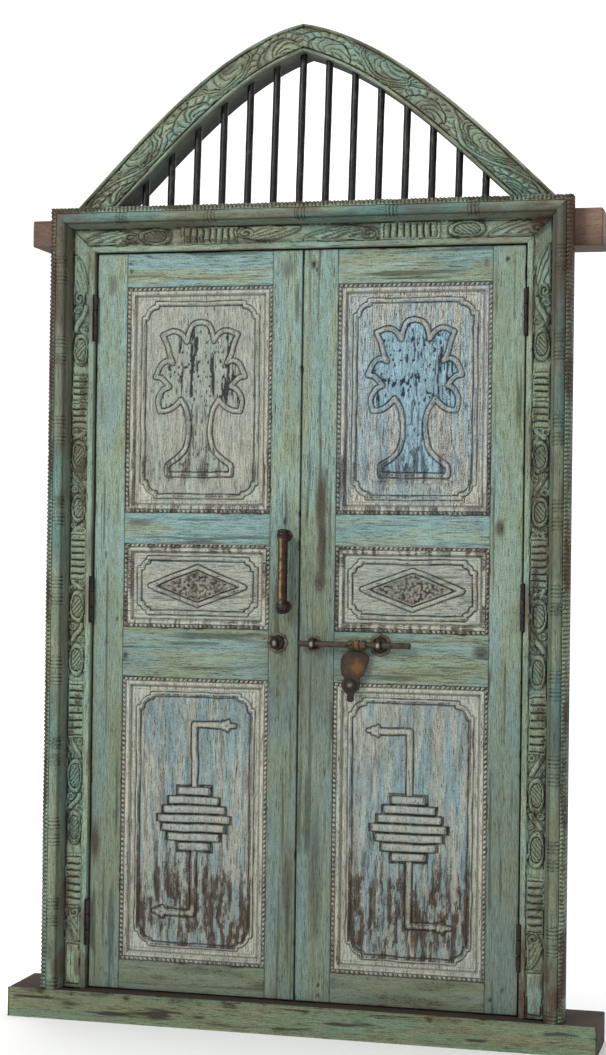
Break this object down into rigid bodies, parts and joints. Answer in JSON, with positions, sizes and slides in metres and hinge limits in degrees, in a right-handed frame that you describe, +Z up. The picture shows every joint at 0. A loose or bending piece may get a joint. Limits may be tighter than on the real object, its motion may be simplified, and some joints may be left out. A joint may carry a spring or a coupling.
{
  "type": "indian architectural door",
  "caption": "Carved and painted wooden double door in its carved frame, on a threshold, under a pointed arch with round iron bars; leaves, bolt and hasp move.",
  "frame": {"origin": "on the underside of the threshold, midway along it, below the plane of the leaves' front faces", "axes": "+X to the right along the door seen from its front, -Y out of the front, +Z up"},
  "size_m": [1.434, 0.177, 2.4123],
  "materials": {
    "frame_wood": "worn green paint on carved hardwood",
    "leaf_wood": "worn sea-green paint on hardwood",
    "panel_wood": "worn whitewash over blue paint on carved hardwood",
    "bare_wood": "bare weathered hardwood",
    "iron_bars": "blackened wrought iron",
    "rusty_iron": "brown rusted wrought iron"
  },
  "bodies": {
    "frame": {"threshold": "leaf_wood", "post_left": "bare_wood", "post_right": "bare_wood", "lintel": "bare_wood", "casing_left": "frame_wood", "casing_right": "frame_wood", "casing_head": "frame_wood", "arch_left": "frame_wood", "arch_right": "frame_wood", "bar_01": "iron_bars", "bar_02": "iron_bars", "bar_03": "iron_bars", "bar_04": "iron_bars", "bar_05": "iron_bars", "bar_06": "iron_bars", "bar_07": "iron_bars", "bar_08": "iron_bars", "bar_09": "iron_bars", "bar_10": "iron_bars", "bar_11": "iron_bars", "bar_12": "iron_bars", "bar_13": "iron_bars", "bar_14": "iron_bars", "left_hinge_1_jamb": "rusty_iron", "left_hinge_2_jamb": "rusty_iron", "left_hinge_3_jamb": "rusty_iron", "right_hinge_1_jamb": "rusty_iron", "right_hinge_2_jamb": "rusty_iron", "right_hinge_3_jamb": "rusty_iron"},
    "left_leaf": {"left_hinge_stile": "leaf_wood", "left_meeting_stile": "leaf_wood", "left_top_rail": "leaf_wood", "left_frieze_rail": "leaf_wood", "left_lock_rail": "leaf_wood", "left_bottom_rail": "leaf_wood", "left_tree_panel": "panel_wood", "left_diamond_panel": "panel_wood", "left_rod_panel": "panel_wood", "left_hinge_1_leaf": "rusty_iron", "left_hinge_2_leaf": "rusty_iron", "left_hinge_3_leaf": "rusty_iron", "left_eye": "rusty_iron", "pull_handle": "rusty_iron"},
    "right_leaf": {"right_hinge_stile": "leaf_wood", "right_meeting_stile": "leaf_wood", "right_top_rail": "leaf_wood", "right_frieze_rail": "leaf_wood", "right_lock_rail": "leaf_wood", "right_bottom_rail": "leaf_wood", "right_tree_panel": "panel_wood", "right_diamond_panel": "panel_wood", "right_rod_panel": "panel_wood", "right_hinge_1_leaf": "rusty_iron", "right_hinge_2_leaf": "rusty_iron", "right_hinge_3_leaf": "rusty_iron", "middle_eye": "rusty_iron", "right_eye": "rusty_iron"},
    "bolt": {"bolt_rod": "rusty_iron"},
    "hasp": {"hasp": "rusty_iron"}
  },
  "joints": [
    {"name": "left_leaf_hinge", "type": "hinge", "parent": "frame", "child": "left_leaf", "pos_m": [-0.529, -0.0068, 0.0735], "axis": [0, 0, -1], "range_deg": [0, 105]},
    {"name": "right_leaf_hinge", "type": "hinge", "parent": "frame", "child": "right_leaf", "pos_m": [0.529, -0.0068, 0.0735], "axis": [0, 0, 1], "range_deg": [0, 105]},
    {"name": "bolt_slide", "type": "slide", "parent": "right_leaf", "child": "bolt", "axis": [1, 0, 0], "range_m": [-0.064, 0.006]},
    {"name": "hasp_swing", "type": "hinge", "parent": "bolt", "child": "hasp", "pos_m": [0.14, -0.021, 0.925], "axis": [-1, 0, 0], "range_deg": [0, 110]}
  ]
}
